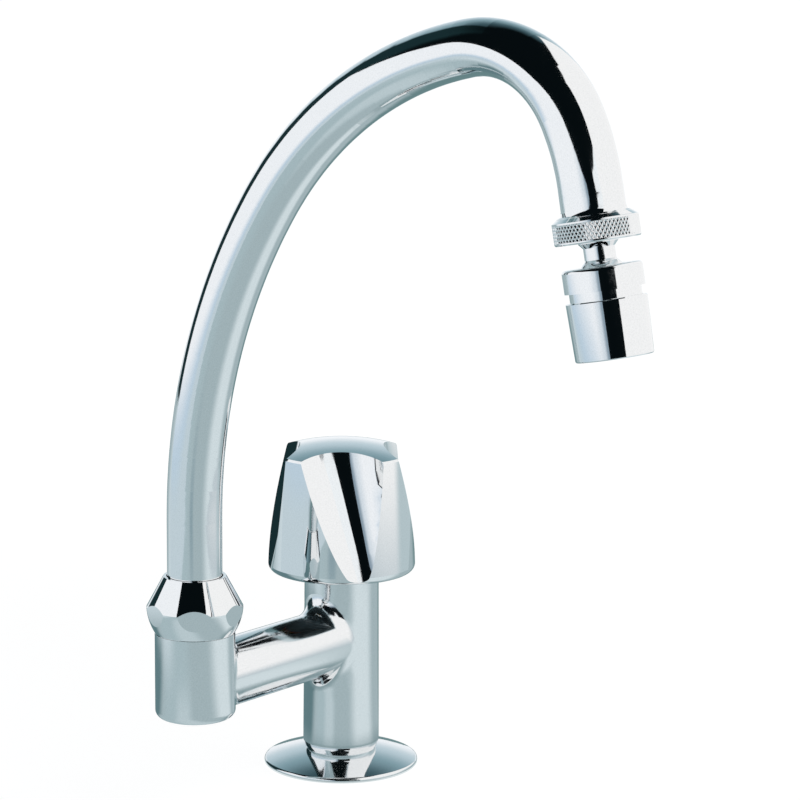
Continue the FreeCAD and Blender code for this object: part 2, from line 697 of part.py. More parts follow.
def station(run):
    """Reach and height of the tube's middle line that far along it, and the heading there."""
    rise = BEND_START_Z - TUBE_START_Z
    place, heading = (0.0, TUBE_START_Z + min(run, rise)), 90.0
    run -= rise
    for radius, degrees in BENDS:
        if run <= 0:
            return place, heading
        turn = min(degrees, math.degrees(run / radius))
        place, heading = bend(place, heading, radius, turn)
        run -= radius * math.radians(degrees)
    return straight(place, heading, max(run, 0.0)), heading


def run_marks():
    """Distances along the middle line where its straight and round stretches are divided."""
    rise = BEND_START_Z - TUBE_START_Z
    stretches = [rise] + [radius * math.radians(degrees) for radius, degrees in BENDS] + [TUBE_TAIL]
    marks, start = [0.0], 0.0
    for length in stretches:
        steps = max(1, round(length / STATION_STEP))
        marks += [start + length * k / steps for k in range(1, steps + 1)]
        start += length
    return marks


def point_at(run):
    (reach, z), heading = station(run)
    return V(SOCKET_X, -reach, z)


def middle_line():
    """The tube's middle line, as straight and round edges."""
    edges = []
    marks = run_marks()
    for a, b in zip(marks, marks[1:]):
        if abs(station(a)[1] - station(b)[1]) < 1e-6:
            edges.append(Part.makeLine(point_at(a), point_at(b)))
        else:
            edges.append(Part.Arc(point_at(a), point_at((a + b) / 2), point_at(b)).toShape())
    return Part.Wire(edges)


def ease(share):
    share = min(max(share, 0.0), 1.0)
    return share * share * (3 - 2 * share)


def tube_radii(heading):
    """Outer radius in the bend's plane and across it, where the tube has that heading."""
    end = ease((-25.0 - heading) / 45.0)
    squeeze = ease((60.0 - heading) / 70.0) * (1 - end)
    grown = (TUBE_END_R - TUBE_R) * end
    inside = TUBE_R * (1 - BEND_FLATTENED * squeeze) + grown
    across = TUBE_R * (1 + BEND_WIDENED * squeeze) + grown
    return inside, across


def outlet_heading():
    return 90.0 - sum(degrees for radius, degrees in BENDS)


def tube_end():
    return station(run_marks()[-1])[0]


def tube_section(run, offset):
    """Ellipse across the middle line that far along it, smaller than the tube by offset."""
    heading = station(run)[1]
    a = math.radians(heading)
    inside, across = tube_radii(heading)
    middle = point_at(run)
    side = middle + V(across - offset + 1e-4, 0, 0)
    top = middle + V(0, math.sin(a), math.cos(a)) * (inside - offset)
    return Part.Wire([Part.Ellipse(side, top, middle).toShape()])


def bent_solid(offset):
    """Sweep along the middle line through sections that are smaller than the tube by offset."""
    sweep = Part.BRepOffsetAPI.MakePipeShell(middle_line())
    sweep.setBiNormalMode(V(1, 0, 0))
    for run in run_marks():
        sweep.add(tube_section(run, offset), False, False)
    sweep.build()
    sweep.makeSolid()
    return sweep.shape()


def to_outlet(shape):
    """Turns a shape that points up from the origin along the outlet's axis, from the tube's end."""
    reach, z = tube_end()
    turned_shape = shape.copy()
    turned_shape.rotate(V(0, 0, 0), V(1, 0, 0), 90.0 - outlet_heading())
    return turned_shape.translated(V(SOCKET_X, -reach, z))


def spout_tube():
    return bent_solid(0.0).cut(bent_solid(TUBE_WALL))


def outlet_ferrule():
    """Threaded ferrule with a spigot in the tube's end and a lip that flares over it."""
    spigot = TUBE_END_R - TUBE_WALL - SEAT_FIT
    over = TUBE_END_R + SEAT_FIT
    lip = over + FERRULE_LIP_FLARE
    thin = over + 0.1
    return to_outlet(spin([
        edge((FERRULE_BORE_R, -FERRULE_SPIGOT), (spigot - 0.5, -FERRULE_SPIGOT)),
        edge((spigot - 0.5, -FERRULE_SPIGOT), (spigot - 0.2, 0)),
        edge((spigot - 0.2, 0), (over, 0)),
        edge((over, 0), (over, -FERRULE_LIP)),
        edge((over, -FERRULE_LIP), (thin, -FERRULE_LIP)),
        arc((thin, -FERRULE_LIP), (thin + 0.3 * (lip - thin), -0.4 * FERRULE_LIP), (lip, 0)),
        edge((lip, 0), (FERRULE_R, 0)),
        edge((FERRULE_R, 0), (FERRULE_R, FERRULE_THREAD)),
        edge((FERRULE_R, FERRULE_THREAD), (FERRULE_BORE_R, FERRULE_THREAD)),
        edge((FERRULE_BORE_R, FERRULE_THREAD), (FERRULE_BORE_R, -FERRULE_SPIGOT))]))


def knurled_ring():
    """Coupling ring, threaded inside, with a lip under the stud's flange."""
    top_in = TUBE_END_R + FERRULE_LIP_FLARE + RING_CLEARANCE
    thread = FERRULE_R + SEAT_FIT
    hole = STUD_COLLAR_R + RING_CLEARANCE
    return to_outlet(turned([
        (top_in, RING_START), (RING_R - RING_CHAMFER_W, RING_START), (RING_R, RING_START + RING_CHAMFER),
        (RING_R, RING_END - RING_FOOT), (RING_R - RING_FOOT, RING_END), (hole, RING_END),
        (hole, STUD_END), (thread, STUD_END), (thread, 0.3), (thread, 0), (top_in, -0.1)]))


def coupling_seal():
    return to_outlet(tube(STUD_FLANGE_R - COUPLING_SEAL_INSET, FERRULE_BORE_R, FERRULE_THREAD, STUD_START))


def ball_stud():
    """Flange, neck and ball in one piece, bored through."""
    collar_end = RING_END + STUD_COLLAR_T
    blend_at = BALL_AT - math.sqrt(BALL_R ** 2 - (STUD_NECK_R + STUD_ROOT_W) ** 2)
    root = blend_at - STUD_ROOT_L
    stem = turned([
        (0, STUD_START), (STUD_FLANGE_R, STUD_START), (STUD_FLANGE_R, STUD_END),
        (STUD_COLLAR_R, STUD_END), (STUD_COLLAR_R, RING_END + 0.3), (STUD_NECK_R, collar_end),
        (STUD_NECK_R, root), (STUD_NECK_R + STUD_ROOT_W, blend_at), (0, blend_at + 1)])
    ball = Part.makeSphere(BALL_R, V(0, 0, BALL_AT))
    ball = ball.common(disc(BALL_R, BALL_AT - BALL_R, BALL_AT + 0.72 * BALL_R))
    return to_outlet(stem.fuse(ball).cut(disc(STUD_BORE_R, STUD_START, BALL_AT + BALL_R)))


def ball_band(outer, inner, low, high):
    """Ring between two spheres about the ball's centre, between two stations."""
    band = Part.makeSphere(outer, V(0, 0, BALL_AT)).cut(Part.makeSphere(inner, V(0, 0, BALL_AT)))
    return band.common(disc(outer + 1, low, high))


def ball_liner():
    inner = BALL_R + RUN_FIT
    return to_outlet(ball_band(BALL_R + LINER_T, inner, BALL_AT - LINER_ABOVE, BALL_AT + LINER_BELOW))


def aerator_housing():
    """Upper cap with the ball's seat, and the neck that the sleeve slides on."""
    e = HOUSING_EDGE_R
    slope = e * (1 - math.sqrt(0.5))
    top, r = HOUSING_AT, HOUSING_R
    outer = spin([
        edge((0, top), (r - e, top)),
        arc((r - e, top), (r - slope, top + slope), (r, top + e)),
        edge((r, top + e), (r, CAP_END)),
        edge((r, CAP_END), (HOUSING_NECK_R, CAP_END)),
        edge((HOUSING_NECK_R, CAP_END), (HOUSING_NECK_R, HOUSING_END)),
        edge((HOUSING_NECK_R, HOUSING_END), (0, HOUSING_END)),
        edge((0, HOUSING_END), (0, top))])
    shoulder = BALL_AT - LINER_ABOVE - RUN_FIT
    mouth = Part.makeCone(HOUSING_MOUTH_R, HOUSING_MOUTH_R + 1.0, shoulder - top, V(0, 0, top))
    lead = Part.makeCone(HOUSING_MOUTH_R + 0.5, HOUSING_MOUTH_R, 0.5, V(0, 0, top))
    seat = Part.makeSphere(BALL_R + LINER_T + RUN_FIT, V(0, 0, BALL_AT))
    seat = seat.common(disc(HOUSING_R, shoulder, BALL_AT + BALL_R))
    bore = disc(HOUSING_BORE_R, BALL_AT + LINER_BELOW + 0.3, HOUSING_END)
    return to_outlet(outer.cut([mouth, lead, seat, bore]))


def retainer_at():
    """Station of the retainer's upper face, just below the liner."""
    return BALL_AT + RETAINER_BELOW_BALL


def ball_retainer():
    """Threaded ring with a spherical seat that holds the ball up."""
    low = retainer_at()
    ring = tube(HOUSING_BORE_R - SEAT_FIT, RETAINER_BORE_R, low, low + RETAINER_T)
    groove = Part.makeTorus(retainer_seal_r(), RETAINER_WIRE / 2 + SEAT_FIT, V(0, 0, low + RETAINER_SEAL_AT))
    return to_outlet(ring.cut([Part.makeSphere(BALL_R + 0.3, V(0, 0, BALL_AT)), groove]))


def retainer_seal_r():
    """Middle radius of the sealing ring that touches the ball below its middle."""
    offset = retainer_at() + RETAINER_SEAL_AT - BALL_AT
    gap = BALL_R + RUN_FIT + RETAINER_WIRE / 2
    return math.sqrt(gap ** 2 - offset ** 2)


def retainer_seal():
    place = V(0, 0, retainer_at() + RETAINER_SEAL_AT)
    return to_outlet(Part.makeTorus(retainer_seal_r(), RETAINER_WIRE / 2, place))


def core_at():
    return retainer_at() + RETAINER_T + MESH_T + 1.0


def mesh_screen():
    high = core_at()
    return to_outlet(disc(HOUSING_BORE_R - 0.1, high - MESH_T, high))


def core_seal():
    high = core_at() - MESH_T
    return to_outlet(tube(HOUSING_BORE_R - 0.1, HOUSING_BORE_R - 2.6, high - 1.0, high))


def aerator_core():
    """Plastic core: a flange in the bore, a slotted body, and a way through for the water."""
    low = core_at()
    end = low + CORE_LENGTH
    flange_r = HOUSING_BORE_R - CORE_FLANGE_FIT
    body = turned([
        (CORE_BORE_R, low), (flange_r, low), (flange_r, low + CORE_FLANGE_T),
        (CORE_R, low + CORE_FLANGE_T), (CORE_R, end), (CORE_BORE_R, end)])
    slots = []
    for k in range(6):
        slot = Part.makeBox(CORE_R, CORE_SLOT_W, CORE_LENGTH - 2.5 * CORE_FLANGE_T,
                            V(CORE_R - CORE_SLOT_DEPTH, -CORE_SLOT_W / 2, low + 1.6 * CORE_FLANGE_T))
        slot.rotate(V(0, 0, 0), UP, 60 * k)
        slots.append(slot)
    return to_outlet(body.cut(slots))


def aerator_sleeve():
    """Sleeve that slides on the housing's neck, with a seat for the spray face."""
    bore = HOUSING_NECK_R + RUN_FIT
    face_at = SLEEVE_END - SPRAY_RECESS - SPRAY_T
    lip = SPRAY_R - SLEEVE_LIP
    ledge = face_at - SLEEVE_LIP_T
    chamfer = SLEEVE_CHAMFER
    return to_outlet(turned([
        (bore, SLEEVE_AT), (SLEEVE_R - chamfer, SLEEVE_AT), (SLEEVE_R, SLEEVE_AT + chamfer),
        (SLEEVE_END_R, SLEEVE_END - chamfer), (SLEEVE_END_R - chamfer, SLEEVE_END),
        (SPRAY_R + SEAT_FIT, SLEEVE_END),
        (SPRAY_R + SEAT_FIT, face_at), (lip, face_at), (lip, ledge), (bore, ledge)]))


def spray_face():
    """Outlet plate with rings of holes."""
    low = SLEEVE_END - SPRAY_RECESS - SPRAY_T
    high = SLEEVE_END - SPRAY_RECESS
    holes = []
    for radius in SPRAY_RING_R:
        count = int(2 * math.pi * radius / SPRAY_PITCH)
        for k in range(count):
            a = 2 * math.pi * k / count
            place = V(radius * math.cos(a), radius * math.sin(a), 0)
            holes.append(disc(SPRAY_HOLE_R, low, high).translated(place))
    return to_outlet(disc(SPRAY_R, low, high).cut(holes))


PIECES = (
    deck_flange, deck_gasket, tap_body, inlet_shank, deck_washer, clamp_washer, backnut,
    headwork_washer, headwork_body, spout_nut, lower_slip_ring, upper_slip_ring,
    knob, knob_bush, knob_spring_ring, spindle, spindle_seals, spindle_clip,
    valve_carrier, valve_washer, valve_screw,
    spout_tube, spout_collar, spout_seals, outlet_ferrule, knurled_ring, coupling_seal, ball_stud,
    ball_liner, aerator_housing, ball_retainer, retainer_seal, mesh_screen, core_seal, aerator_core,
    aerator_sleeve, spray_face)

os.makedirs("parts", exist_ok=True)
for piece in PIECES:
    shape = piece()
    shape.exportStep("parts/" + piece.__name__ + ".step")
    print(piece.__name__, len(shape.Solids), round(shape.Volume, 1), shape.isValid())
reach_end, z_end = tube_end()
print("tube end", round(reach_end, 3), round(z_end, 3), "heading", round(outlet_heading(), 3))
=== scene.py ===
"""Looks of a kitchen tap with a swivel spout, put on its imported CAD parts. Lengths are metres."""

import math

import bpy
from mathutils import Matrix, Vector


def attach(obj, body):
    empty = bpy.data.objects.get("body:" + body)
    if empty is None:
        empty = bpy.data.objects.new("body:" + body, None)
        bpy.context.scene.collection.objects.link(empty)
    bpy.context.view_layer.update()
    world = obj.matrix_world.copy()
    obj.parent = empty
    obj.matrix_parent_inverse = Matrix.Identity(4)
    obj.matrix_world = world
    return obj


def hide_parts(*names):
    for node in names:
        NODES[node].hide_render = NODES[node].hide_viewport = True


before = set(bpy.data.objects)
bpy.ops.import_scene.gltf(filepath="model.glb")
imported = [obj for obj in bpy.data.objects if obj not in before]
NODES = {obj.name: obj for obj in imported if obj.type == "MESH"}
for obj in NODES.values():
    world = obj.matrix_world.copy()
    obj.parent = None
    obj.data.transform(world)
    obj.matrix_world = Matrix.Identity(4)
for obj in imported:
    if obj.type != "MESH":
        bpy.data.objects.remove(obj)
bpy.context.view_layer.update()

SCENE = bpy.context.scene

# The photograph's camera, in the row frame
CAMERA_AT = Vector((-0.7526, -0.6301, 0.3105))
HEADING = math.radians(38.783)
PITCH = math.radians(10.5)
ROLL = 0.0076
LENS_MM = 131.02
SENSOR_MM = 36.0

AWAY = Vector((math.cos(HEADING), math.sin(HEADING), 0))
RIGHT = Vector((math.sin(HEADING), -math.cos(HEADING), 0))
UP = Vector((0, 0, 1))

# The outlet's axis and the dimensions of its coupling ring
TUBE_END = Vector((-0.0746, -0.155823, 0.21167))
OUTLET_TILT = math.radians(11.4)
RING_R = 0.01255
RING_START = -0.0004
RING_END = 0.0076
RING_CHAMFER = 0.0016
RING_CHAMFER_W = 0.0022
RING_FOOT = 0.00035
RING_TOP_IN = 0.0102
RING_THREAD_R = 0.0092
RING_HOLE_R = 0.00605
RING_LIP_AT = 0.0068
RING_SEAT_AT = -0.0001
RING_EDGE_W = 0.0001
RING_EDGE_RISE = 0.00002
RING_EDGE_DROP = 0.00005

# The ring's knurl: pits round, rows of pits, and their depth, place and width
KNURL_ROUND = 64
KNURL_ROWS = 5
KNURL_DEPTH = 0.00035
KNURL_LOW = 0.0013
KNURL_HIGH = 0.0072
KNURL_MARGIN = 0.4
PIT_WIDTH = 0.45
STEPS_PER_PIT = 8

# The part of a noise's range that is used
NOISE_LOW = 0.3
NOISE_HIGH = 0.7

# Noise scales: the metals' polishing wave and changes of gloss, and the mottle of moulded stuff
POLISH_WAVES = 55
GLOSS_CHANGES = 420
MOTTLE = 130

# Strengths of the bumps
WAVE_STRENGTH = 0.35
GRAIN_STRENGTH = 0.5
MOULD_STRENGTH = 0.6

# The product of level place and normal under which a wall of the knob faces inwards
INNER_WALL_LIMIT = -0.0004

# The white floor, which glows a little more further out, and the worktop that the chrome mirrors
FLOOR_HALF = 20.0
FLOOR_Z = -0.0004
FLOOR_GLOW_FROM = 0.10
FLOOR_GLOW_TO = 0.70
FLOOR_GLOW_NEAR = 1.22
FLOOR_GLOW_FAR = 1.36
FLOOR_MATT = 0.9
FLOOR_MATT_SHARE = 0.25
WORKTOP_R = 1.25
WORKTOP_Z = -0.0008
WORKTOP_SIDES = 96

# Softboxes by their upright edges: azimuth, distance, foot and top
LEFT_BOX = [(-8, 0.91, 0, 0.27), (-37, 0.50, 0, 0.33), (-106, 0.36, 0, 0.42)]
RIGHT_BOX = [(29, 0.60, 0, 0.90), (146, 0.50, 0, 0.80)]
FAR_BOX = [(13, 1.2, 0.37, 0.45), (20, 1.2, 0.37, 0.52), (32, 1.2, 0.37, 0.68)]


def material(name):
    """A new node material, its nodes, its links and its main shader."""
    made = bpy.data.materials.new(name)
    made.use_nodes = True
    tree = made.node_tree
    return made, tree.nodes, tree.links, tree.nodes["Principled BSDF"]


def noise(nodes, links, place, scale, detail):
    """Noise by the piece's own coordinates."""
    made = nodes.new("ShaderNodeTexNoise")
    made.inputs["Scale"].default_value = scale
    made.inputs["Detail"].default_value = detail
    links.new(place.outputs["Object"], made.inputs["Vector"])
    return made.outputs["Fac"]


def spread(nodes, links, source, low, high):
    """Maps the middle of a noise to the range from low to high."""
    made = nodes.new("ShaderNodeMapRange")
    made.inputs["From Min"].default_value = NOISE_LOW
    made.inputs["From Max"].default_value = NOISE_HIGH
    made.inputs["To Min"].default_value = low
    made.inputs["To Max"].default_value = high
    links.new(source, made.inputs["Value"])
    return made.outputs["Result"]


def blend_colour(nodes, links, source, dark, light):
    """A colour that a noise moves between dark and light."""
    made = nodes.new("ShaderNodeMix")
    made.data_type = "RGBA"
    made.inputs["A"].default_value = (*dark, 1)
    made.inputs["B"].default_value = (*light, 1)
    links.new(spread(nodes, links, source, 0.0, 1.0), made.inputs["Factor"])
    return made.outputs["Result"]


def bump(nodes, links, source, height, strength, below=None):
    """Raises the surface by a noise, on top of another bump if there is one below."""
    made = nodes.new("ShaderNodeBump")
    made.inputs["Strength"].default_value = strength
    made.inputs["Distance"].default_value = height
    links.new(source, made.inputs["Height"])
    if below is not None:
        links.new(below, made.inputs["Normal"])
    return made.outputs["Normal"]


def metal(name, dark, light, rough, grain=2400, grain_mm=0.0006, wave_mm=0.004):
    """Polished metal: faint tone and gloss changes, fine grain and a slow polishing wave."""
    made, nodes, links, shader = material(name)
    place = nodes.new("ShaderNodeTexCoord")
    shader.inputs["Metallic"].default_value = 1.0
    fine = noise(nodes, links, place, grain, 3.0)
    slow = noise(nodes, links, place, POLISH_WAVES, 2.0)
    middle = noise(nodes, links, place, GLOSS_CHANGES, 4.0)
    links.new(blend_colour(nodes, links, fine, dark, light), shader.inputs["Base Color"])
    links.new(spread(nodes, links, middle, rough[0], rough[1]), shader.inputs["Roughness"])
    wave = bump(nodes, links, slow, wave_mm / 1000, WAVE_STRENGTH)
    grained = bump(nodes, links, fine, grain_mm / 1000, GRAIN_STRENGTH, wave)
    links.new(grained, shader.inputs["Normal"])
    return made


def moulded(name, dark, light, rough, specular=0.4, grain=900, height_mm=0.02):
    """Rubber, nylon or fibre: mottled colour, a moulded grain and faint sheen."""
    made, nodes, links, shader = material(name)
    place = nodes.new("ShaderNodeTexCoord")
    fine = noise(nodes, links, place, grain, 5.0)
    slow = noise(nodes, links, place, MOTTLE, 3.0)
    links.new(blend_colour(nodes, links, slow, dark, light), shader.inputs["Base Color"])
    links.new(spread(nodes, links, fine, rough[0], rough[1]), shader.inputs["Roughness"])
    shader.inputs["Specular IOR Level"].default_value = specular
    links.new(bump(nodes, links, fine, height_mm / 1000, MOULD_STRENGTH), shader.inputs["Normal"])
    return made


def unplated_inside(made, colour, rough):
    """Turns a hollow piece's inner walls about the row's Z axis into bare moulded plastic of the
    given colour, which for the knob is near black as painted shade.
    """
    nodes = made.node_tree.nodes
    links = made.node_tree.links
    shader = nodes["Principled BSDF"]
    place = nodes.new("ShaderNodeTexCoord")
    level = nodes.new("ShaderNodeVectorMath")
    level.operation = "MULTIPLY"
    level.inputs[1].default_value = (1, 1, 0)
    links.new(place.outputs["Object"], level.inputs[0])
    outward = nodes.new("ShaderNodeVectorMath")
    outward.operation = "DOT_PRODUCT"
    links.new(level.outputs["Vector"], outward.inputs[0])
    links.new(place.outputs["Normal"], outward.inputs[1])
    inside = nodes.new("ShaderNodeMath")
    inside.operation = "LESS_THAN"
    inside.inputs[1].default_value = INNER_WALL_LIMIT
    links.new(outward.outputs["Value"], inside.inputs[0])
    for socket, kind, value in (("Base Color", "RGBA", (*colour, 1)), ("Metallic", "FLOAT", 0.0),
                                ("Roughness", "FLOAT", rough)):
        mixed = nodes.new("ShaderNodeMix")
        mixed.data_type = kind
        entry = [i for i in mixed.inputs if i.enabled]
        links.new(inside.outputs["Value"], entry[0])
        if shader.inputs[socket].is_linked:
            links.new(shader.inputs[socket].links[0].from_socket, entry[1])
        else:
            entry[1].default_value = shader.inputs[socket].default_value
        entry[2].default_value = value
        result = [o for o in mixed.outputs if o.enabled][0]
        links.new(result, shader.inputs[socket])
    return made


CHROME_DARK = (0.83, 0.85, 0.86)
CHROME_LIGHT = (0.90, 0.915, 0.925)
# Bare plastic of the knob's inside, made near black: partly the plastic's own colour, partly
# painted shade of the hollow
HOLLOW_PLASTIC_AND_SHADE = (0.05, 0.075, 0.085)
BARE_PLASTIC_ROUGH = 0.4


def chrome(name, rough, **more):
    """Plated metal with a cool cast; more goes on to metal."""
    return metal(name, CHROME_DARK, CHROME_LIGHT, rough, **more)


LOOKS = {
    "chrome_flange": chrome("chrome_flange", (0.05, 0.09)),
    "chrome_body": chrome("chrome_body", (0.08, 0.14), grain_mm=0.001),
    "chrome_nut": chrome("chrome_nut", (0.02, 0.05), wave_mm=0.001),
    # The knob's inner walls become bare plastic, near black as painted shade inside its hollow
    "chrome_knob": unplated_inside(chrome("chrome_knob", (0.03, 0.06), wave_mm=0.003),
                                   HOLLOW_PLASTIC_AND_SHADE, BARE_PLASTIC_ROUGH),
    "chrome_tube": chrome("chrome_tube", (0.05, 0.09), wave_mm=0.006),
    "chrome_ring": chrome("chrome_ring", (0.06, 0.1), wave_mm=0.0),
    "chrome_stud": chrome("chrome_stud", (0.03, 0.06), wave_mm=0.001),
    "chrome_housing": chrome("chrome_housing", (0.04, 0.07), wave_mm=0.002),
    "chrome_sleeve": chrome("chrome_sleeve", (0.04, 0.07), wave_mm=0.002),
    "brass": metal("brass", (0.62, 0.40, 0.14), (0.80, 0.56, 0.22), (0.2, 0.38), grain=1600,
                   grain_mm=0.01),
    "steel": metal("steel", (0.50, 0.50, 0.49), (0.66, 0.66, 0.65), (0.2, 0.34), grain=1800,
                   grain_mm=0.006),
    "rubber": moulded("rubber", (0.012, 0.012, 0.013), (0.03, 0.03, 0.031), (0.55, 0.75), 0.3),
    "white_nylon": moulded("white_nylon", (0.74, 0.74, 0.70), (0.82, 0.82, 0.79), (0.35, 0.5)),
    "grey_acetal": moulded("grey_acetal", (0.30, 0.31, 0.32), (0.38, 0.39, 0.40), (0.3, 0.45)),
    "red_fibre": moulded("red_fibre", (0.28, 0.035, 0.025), (0.42, 0.07, 0.045), (0.6, 0.8),
                         grain=1500, height_mm=0.05),
}


def dress_nodes():
    """Gives each CAD node the finish of its own slot."""
    for node in NODES.values():
        for holder in node.material_slots:
            holder.material = LOOKS[holder.material.name.split(".")[0]]


def pit(turn, along):
    """Depth share of the knurl at a place counted in pits round and rows along, from 0 to 1."""
    deepest = 0.0
    for shift in (0.0, 0.5):
        u = abs((turn - shift + 0.5) % 1.0 - 0.5)
        v = abs((along / 2 - shift + 0.5) % 1.0 - 0.5)
        deepest = max(deepest, 1.0 - (u + v) / PIT_WIDTH)
    return max(0.0, deepest)


def knurled_ring():
    """Coupling ring with its rows of pits cut in, standing for the plain CAD ring."""
    column_count = KNURL_ROUND * STEPS_PER_PIT
    chamfer_top_r = RING_R - RING_CHAMFER_W
    chamfer_end = RING_START + RING_CHAMFER
    plain = [(RING_THREAD_R, 0.0), (RING_TOP_IN, RING_SEAT_AT), (RING_TOP_IN, RING_START),
             (chamfer_top_r - RING_EDGE_W, RING_START),
             (chamfer_top_r, RING_START + RING_EDGE_RISE),
             (RING_R - RING_EDGE_W, chamfer_end - RING_EDGE_DROP),
             (RING_R, chamfer_end)]
    rows = [(r, a, None) for r, a in plain]
    step_count = (KNURL_ROWS + 1) * STEPS_PER_PIT
    for k in range(step_count + 1):
        share = k / step_count
        along = KNURL_LOW + share * (KNURL_HIGH - KNURL_LOW)
        rows.append((RING_R, along, share * (KNURL_ROWS + 1)))
    rows += [(RING_R - RING_FOOT, RING_END, None), (RING_HOLE_R, RING_END, None),
             (RING_HOLE_R, RING_LIP_AT, None), (RING_THREAD_R, RING_LIP_AT, None)]
    verts = []
    for radius, along, row in rows:
        for k in range(column_count):
            angle = 2 * math.pi * k / column_count
            r = radius
            if row is not None and KNURL_MARGIN < row < KNURL_ROWS + 1 - KNURL_MARGIN:
                r -= KNURL_DEPTH * pit(k / STEPS_PER_PIT, row)
            verts.append((r * math.cos(angle), r * math.sin(angle), along))
    faces = []
    total = len(rows)
    for i in range(total):
        j = (i + 1) % total
        for k in range(column_count):
            m = (k + 1) % column_count
            faces.append((i * column_count + k, i * column_count + m,
                          j * column_count + m, j * column_count + k))
    mesh = bpy.data.meshes.new("coupling_ring")
    mesh.from_pydata(verts, [], faces)
    down = Vector((0, -math.sin(OUTLET_TILT), -math.cos(OUTLET_TILT)))
    side = Vector((1, 0, 0))
    turn = Matrix((side, down.cross(side), down)).transposed().to_4x4()
    mesh.transform(Matrix.Translation(TUBE_END) @ turn)
    mesh.validate()
    ring = bpy.data.objects.new("coupling_ring", mesh)
    SCENE.collection.objects.link(ring)
    mesh.materials.append(LOOKS["chrome_ring"])
    for polygon in mesh.polygons:
        polygon.use_smooth = False
    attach(ring, "spout")
    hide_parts("knurled_ring")


class Tones:
    """Mixes light tones by place or direction, with soft edges. Angles are degrees."""

    def __init__(self, nodes, links, source):
        self.nodes = nodes
        self.links = links
        self.vector = source
        self.azimuth = self.degrees(self.math("ARCTAN2", self.dot(RIGHT), self.dot(-AWAY)))
        self.side = self.math("ABSOLUTE", self.azimuth)
        self.tone = None

    def dot(self, direction):
        """The place or direction along another direction."""
        made = self.nodes.new("ShaderNodeVectorMath")
        made.operation = "DOT_PRODUCT"
        self.links.new(self.vector, made.inputs[0])
        made.inputs[1].default_value = direction
        return made.outputs["Value"]

    def math(self, operation, *values):
        """A sum on numbers and other nodes' results."""
        made = self.nodes.new("ShaderNodeMath")
        made.operation = operation
        for k, value in enumerate(values):
            if isinstance(value, (int, float)):
                made.inputs[k].default_value = value
            else:
                self.links.new(value, made.inputs[k])
        return made.outputs["Value"]

    def degrees(self, value):
        return self.math("MULTIPLY", value, 180 / math.pi)

    def distance(self):
        """Distance from the column's axis, measured level."""
        across = self.dot(RIGHT)
        away = self.dot(AWAY)
        across_squared = self.math("MULTIPLY", across, across)
        away_squared = self.math("MULTIPLY", away, away)
        return self.math("SQRT", self.math("ADD", across_squared, away_squared))

    def rises(self, value, at, soft):
        """0 below at, 1 above it, over twice soft."""
        made = self.nodes.new("ShaderNodeMapRange")
        made.interpolation_type = "SMOOTHSTEP"
        made.inputs["From Min"].default_value = at - soft
        made.inputs["From Max"].default_value = at + soft
        self.links.new(value, made.inputs["Value"])
        return made.outputs["Result"]

    def falls(self, value, at, soft):
        """1 below at, 0 above it, over twice soft."""
        return self.math("SUBTRACT", 1.0, self.rises(value, at, soft))

    def between(self, value, low, high, soft):
        """1 from low to high, 0 outside."""
        return self.math("MULTIPLY", self.rises(value, low, soft), self.falls(value, high, soft))

    def paint(self, colour, *masks):
        """Lays a colour over what is there, where all the masks are 1."""
        made = self.nodes.new("ShaderNodeMix")
        made.data_type = "RGBA"
        made.inputs["Factor"].default_value = 1.0
        made.inputs["B"].default_value = (*colour, 1)
        if self.tone is not None:
            self.links.new(self.tone, made.inputs["A"])
        share = None
        for mask in masks:
            share = mask if share is None else self.math("MULTIPLY", share, mask)
        if share is not None:
            self.links.new(share, made.inputs["Factor"])
        self.tone = made.outputs["Result"]


def glowing(name, recipe):
    """A light-giving material whose colour a recipe paints by place."""
    made = bpy.data.materials.new(name)
    made.use_nodes = True
    nodes = made.node_tree.nodes
    links = made.node_tree.links
    nodes.clear()
    place = nodes.new("ShaderNodeTexCoord")
    tones = Tones(nodes, links, place.outputs["Object"])
    recipe(tones)
    glow = nodes.new("ShaderNodeEmission")
    links.new(tones.tone, glow.inputs["Color"])
    out = nodes.new("ShaderNodeOutputMaterial")
    links.new(glow.outputs["Emission"], out.inputs["Surface"])
    return made


def stage_mesh(name, verts, made, faces=None):
    """A surface of the studio, which isn't part of the tap; one face unless faces are given."""
    mesh = bpy.data.meshes.new(name)
    mesh.from_pydata(verts, [], faces or [tuple(range(len(verts)))])
    mesh.materials.append(made)
    shown = bpy.data.objects.new(name, mesh)
    SCENE.collection.objects.link(shown)
    return shown


def photo_place(azimuth, distance, height):
    """A point at an angle right of the line from the tap to the camera."""
    angle = math.radians(azimuth)
    return (math.sin(angle) * RIGHT - math.cos(angle) * AWAY) * distance + UP * height


def light_card(name, places, recipe):
    """An upright softbox through places of azimuth, distance, foot height and top height."""
    verts = []
    for azimuth, distance, foot, top in places:
        verts += [photo_place(azimuth, distance, foot), photo_place(azimuth, distance, top)]
    faces = [(2 * k, 2 * k + 2, 2 * k + 3, 2 * k + 1) for k in range(len(places) - 1)]
    card = stage_mesh(name, verts, glowing(name, recipe), faces)
    card.visible_camera = False
    card.visible_shadow = False


def left_box(tones):
    """Darker towards the camera and blue-grey near the worktop, with white above."""
    height = tones.dot(UP)
    tones.paint((0.58, 0.68, 0.73))
    tones.paint((0.54, 0.67, 0.78), tones.rises(height, 0.055, 0.02))
    tones.paint((0.96, 0.975, 1.0), tones.rises(height, 0.10, 0.04))
    tones.paint((0.68, 0.75, 0.81), tones.rises(tones.azimuth, -21, 8))
    tones.paint((0.28, 0.36, 0.43), tones.rises(tones.azimuth, -13, 3))


